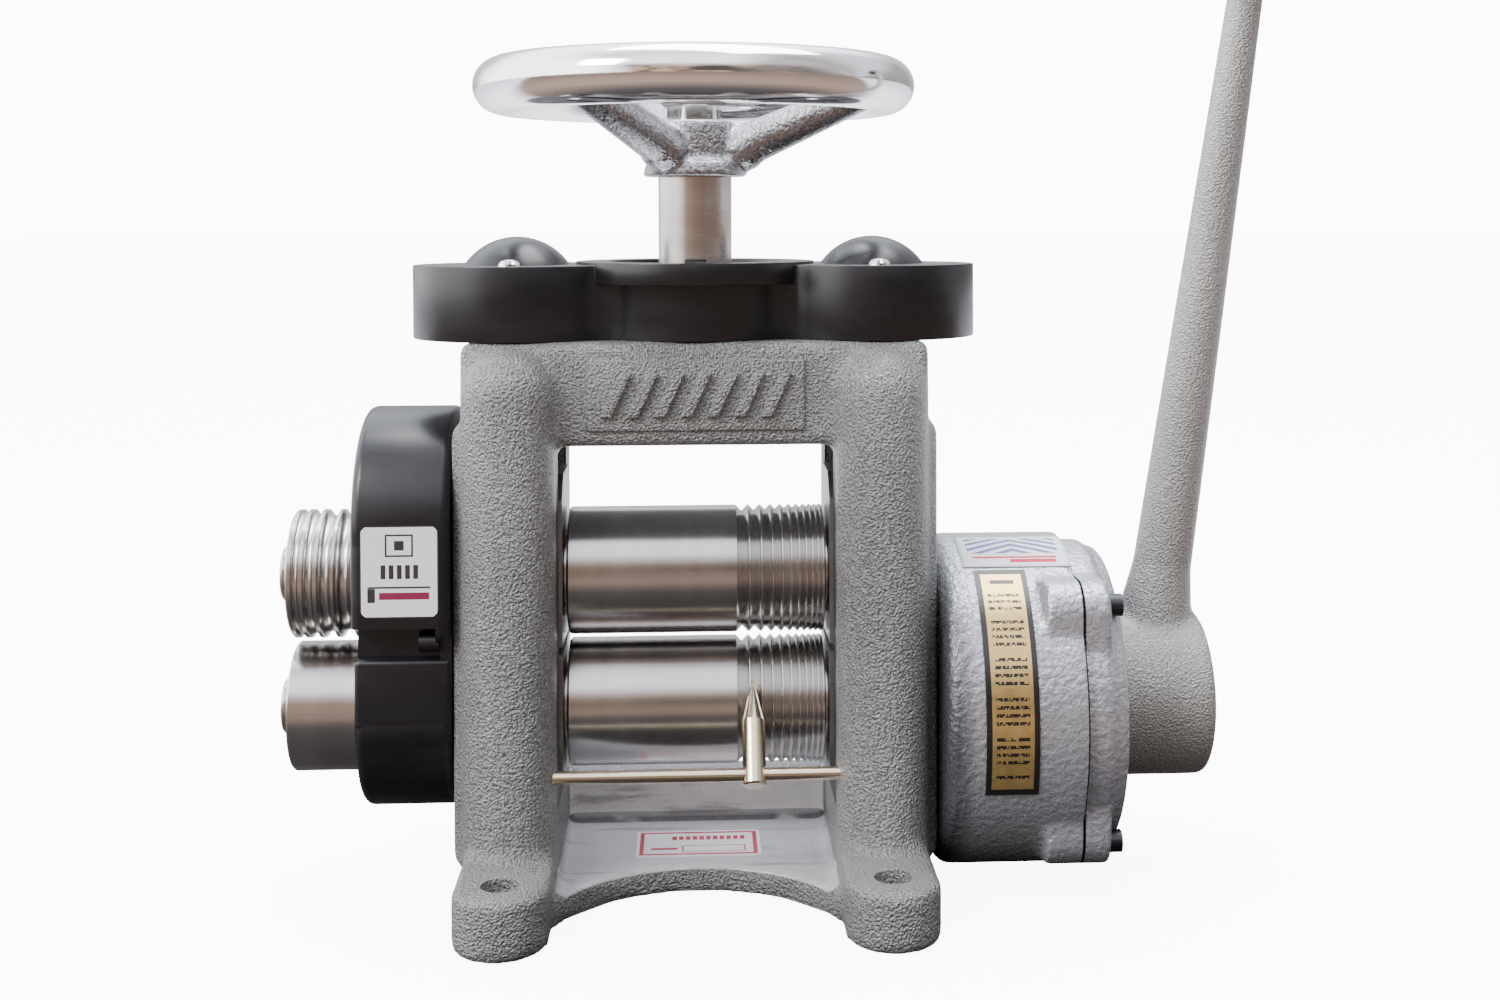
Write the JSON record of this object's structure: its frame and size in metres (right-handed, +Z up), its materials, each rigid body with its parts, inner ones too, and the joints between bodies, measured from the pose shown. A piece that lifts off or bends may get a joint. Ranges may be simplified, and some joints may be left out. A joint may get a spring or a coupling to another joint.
{
  "type": "rolling mill",
  "caption": "Bench rolling mill with flat and wire-groove rolls, geared crank, handwheel roll adjustment, extension rolls and a wire guide.",
  "frame": {"origin": "centre of the four bench bolt holes, on the bench surface", "axes": "+Z up, +X towards the crank, -Y towards the operator"},
  "size_m": [0.4941, 0.1938, 0.3774],
  "materials": {
    "frame_paint": "silver-grey hammered paint",
    "gearbox_paint": "silver-grey hammered paint, slightly blue",
    "crank_paint": "fine silver paint on rough casting",
    "block_steel": "machined steel",
    "bronze": "turned bronze",
    "black_plastic": "satin black",
    "black_steel": "black oxide",
    "chrome": "polished plating",
    "roll_steel": "ground and polished",
    "gear_steel": "cut gear steel",
    "zinc_yellow": "yellow zinc plating",
    "label_white": "gloss label",
    "plate_gold": "printed gold foil"
  },
  "bodies": {
    "frame": {"frame_casting": "frame_paint", "left_lower_block": "block_steel", "right_lower_block": "block_steel", "left_lower_bush": "bronze", "right_lower_bush": "bronze", "left_screw_nut": "bronze", "right_screw_nut": "bronze", "shaft_bush": "bronze", "top_cover": "black_plastic", "left_dome_cap": "black_plastic", "right_dome_cap": "black_plastic", "cover_screws": "chrome", "gear_guard": "black_plastic", "guard_bolts": "black_steel", "guard_label": "label_white", "gearbox_housing": "gearbox_paint", "gearbox_cover": "gearbox_paint", "gearbox_screws": "black_steel", "ring_gear": "gear_steel", "crank_bush": "bronze", "instruction_plate": "plate_gold", "top_decal": "label_white", "serial_label": "label_white", "guide_bar": "zinc_yellow"},
    "carriage": {"left_upper_block": "block_steel", "right_upper_block": "block_steel", "left_upper_bush": "bronze", "right_upper_bush": "bronze", "left_return_springs": "gear_steel", "right_return_springs": "gear_steel"},
    "upper_roll": {"upper_roll": "roll_steel", "upper_roll_gear": "gear_steel", "upper_extension_roll": "roll_steel"},
    "lower_roll": {"lower_roll": "roll_steel", "lower_roll_gear": "gear_steel", "lower_extension_roll": "roll_steel", "planet_carrier": "gear_steel", "planet_pins": "gear_steel"},
    "planet_1": {"planet_gear_1": "gear_steel"},
    "planet_2": {"planet_gear_2": "gear_steel"},
    "planet_3": {"planet_gear_3": "gear_steel"},
    "crank": {"crank_arm": "crank_paint", "crank_shaft": "roll_steel", "crank_screw": "black_steel", "grip_bolt": "black_steel"},
    "grip": {"crank_grip": "black_plastic"},
    "wheel": {"handwheel": "chrome", "adjusting_shaft": "roll_steel", "centre_gear": "gear_steel", "wheel_nut": "chrome", "dial_disc": "chrome"},
    "left_screw": {"left_leadscrew": "gear_steel", "left_screw_gear": "gear_steel"},
    "right_screw": {"right_leadscrew": "gear_steel", "right_screw_gear": "gear_steel"},
    "guide_slider": {"guide_sleeve": "bronze"},
    "guide_pin": {"guide_pin": "zinc_yellow"}
  },
  "joints": [
    {"name": "wheel_turn", "type": "hinge", "parent": "frame", "child": "wheel", "pos_m": [0, 0, 0.25], "axis": [0, 0, 1], "range_deg": [-396, 486]},
    {"name": "carriage_slide", "type": "slide", "parent": "frame", "child": "carriage", "axis": [0, 0, 1], "range_m": [-0.00221, 0.00271], "deforming": ["left_return_springs", "right_return_springs"]},
    {"name": "left_screw_turn", "type": "hinge", "parent": "carriage", "child": "left_screw", "pos_m": [-0.0702, 0, 0.2], "axis": [0, 0, 1], "range_deg": [-487, 397]},
    {"name": "right_screw_turn", "type": "hinge", "parent": "carriage", "child": "right_screw", "pos_m": [0.0702, 0, 0.2], "axis": [0, 0, 1], "range_deg": [-487, 397]},
    {"name": "lower_roll_spin", "type": "hinge", "parent": "frame", "child": "lower_roll", "pos_m": [0, 0, 0.0665], "axis": [1, 0, 0], "continuous": true},
    {"name": "upper_roll_spin", "type": "hinge", "parent": "carriage", "child": "upper_roll", "pos_m": [0, 0, 0.1188], "axis": [1, 0, 0], "continuous": true},
    {"name": "planet_1_spin", "type": "hinge", "parent": "lower_roll", "child": "planet_1", "pos_m": [0.121, 0, 0.10025], "axis": [1, 0, 0], "continuous": true},
    {"name": "planet_2_spin", "type": "hinge", "parent": "lower_roll", "child": "planet_2", "pos_m": [0.121, -0.02923, 0.04963], "axis": [1, 0, 0], "continuous": true},
    {"name": "planet_3_spin", "type": "hinge", "parent": "lower_roll", "child": "planet_3", "pos_m": [0.121, 0.02923, 0.04963], "axis": [1, 0, 0], "continuous": true},
    {"name": "crank_spin", "type": "hinge", "parent": "frame", "child": "crank", "pos_m": [0.18, 0, 0.0665], "axis": [1, 0, 0], "continuous": true},
    {"name": "grip_spin", "type": "hinge", "parent": "crank", "child": "grip", "pos_m": [0.28, 0, 0.36336], "axis": [1, 0, 0], "continuous": true},
    {"name": "guide_slide", "type": "slide", "parent": "frame", "child": "guide_slider", "axis": [1, 0, 0], "range_m": [-0.065, 0.026]},
    {"name": "guide_tilt", "type": "hinge", "parent": "guide_slider", "child": "guide_pin", "pos_m": [0.0215, -0.044, 0.049], "axis": [-1, 0, 0], "range_deg": [-115, 1]}
  ],
  "couplings": [
    {"joint": "carriage_slide", "follows": "wheel_turn", "m_per_rad": 0.00031831},
    {"joint": "left_screw_turn", "follows": "wheel_turn", "ratio": -1},
    {"joint": "right_screw_turn", "follows": "wheel_turn", "ratio": -1},
    {"joint": "upper_roll_spin", "follows": "lower_roll_spin", "ratio": -1},
    {"joint": "planet_1_spin", "follows": "lower_roll_spin", "ratio": -2.6667},
    {"joint": "planet_2_spin", "follows": "lower_roll_spin", "ratio": -2.6667},
    {"joint": "planet_3_spin", "follows": "lower_roll_spin", "ratio": -2.6667},
    {"joint": "crank_spin", "follows": "lower_roll_spin", "ratio": 5}
  ]
}
